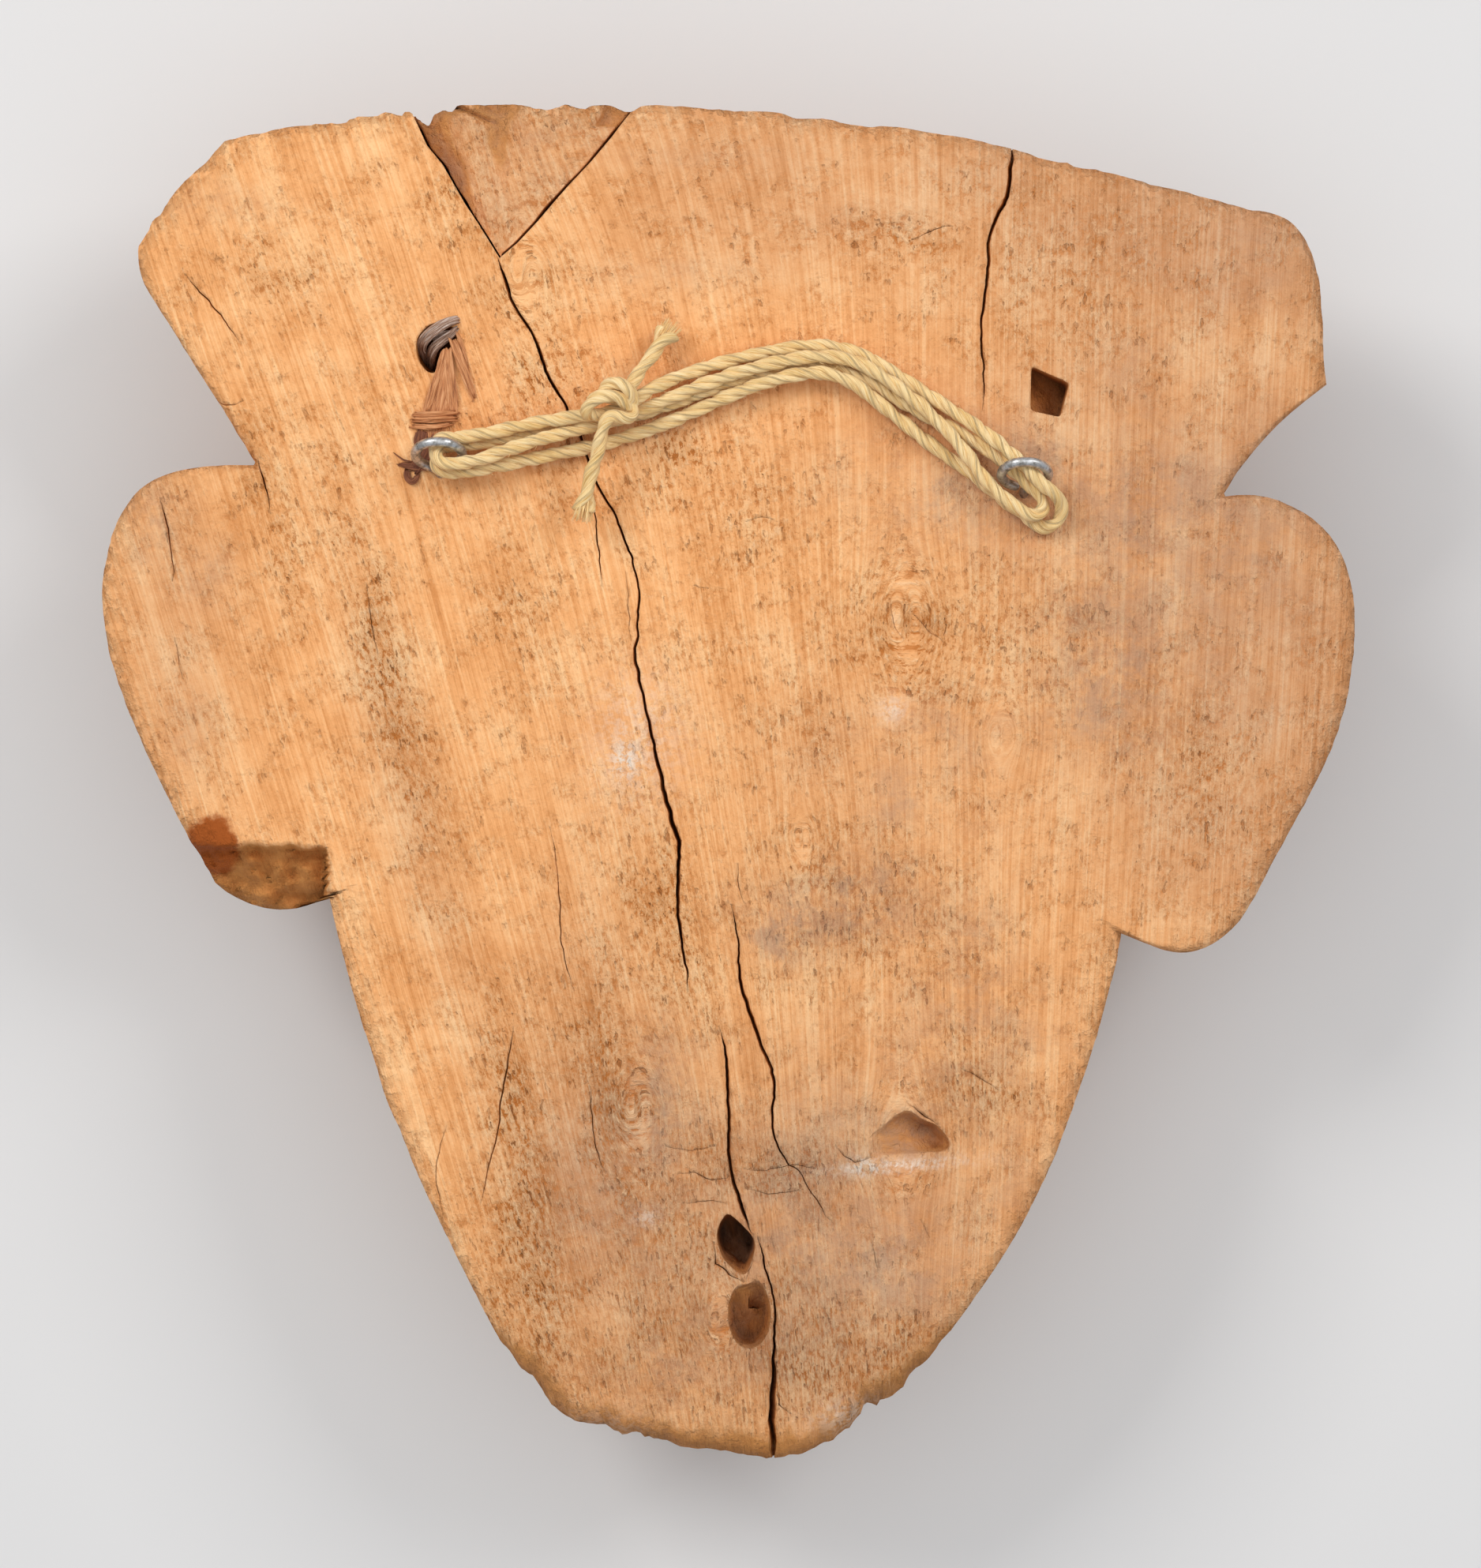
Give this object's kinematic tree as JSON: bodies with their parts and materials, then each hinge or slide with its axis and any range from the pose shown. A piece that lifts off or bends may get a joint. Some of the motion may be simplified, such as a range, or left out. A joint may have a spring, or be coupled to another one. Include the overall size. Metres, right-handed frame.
{
  "type": "carved wooden mask",
  "caption": "Solid carved wooden face mask with a fan-shaped crown, ear lobes and a long chin, hung by a doubled twine cord between screw eyes in its flat, cracked back.",
  "frame": {"origin": "middle of the footprint, on the surface that the brow band and the nose tip rest on when the mask lies face down", "axes": "+Z out of the flat back, +Y towards the crown, +X to the right of someone looking at the back"},
  "size_m": [0.2771, 0.3001, 0.0812],
  "materials": {
    "carved_wood": "rough-hewn, dry, unfinished",
    "steel_wire": "dull zinc plate",
    "inner_bark": "dry, fibrous",
    "twine": "hairy twisted natural fibre"
  },
  "bodies": {
    "mask": {"mask_body": "carved_wood", "crown_wedge": "carved_wood", "left_screw_eye": "steel_wire", "right_screw_eye": "steel_wire", "bark_tie_loop": "inner_bark", "bark_tie_wide_strip": "inner_bark", "bark_tie_narrow_strip": "inner_bark", "bark_tie_side_strip": "inner_bark", "bark_tie_band": "inner_bark", "bark_tie_foot": "inner_bark", "cord_left_bight_1": "twine", "cord_left_bight_2": "twine", "cord_right_bight_1": "twine", "cord_right_bight_2": "twine"},
    "hanging_cord": {"cord_upper_tail": "twine", "cord_strand_1": "twine", "cord_strand_2": "twine", "cord_strand_3": "twine", "cord_strand_4": "twine", "cord_strand_5": "twine", "cord_lower_tail": "twine", "cord_knot": "twine"}
  },
  "joints": [
    {"name": "cord_swing", "type": "hinge", "parent": "mask", "child": "hanging_cord", "pos_m": [0.0014, 0.0696, 0.0741], "axis": [1, 0, 0], "range_deg": [0, 30]}
  ]
}
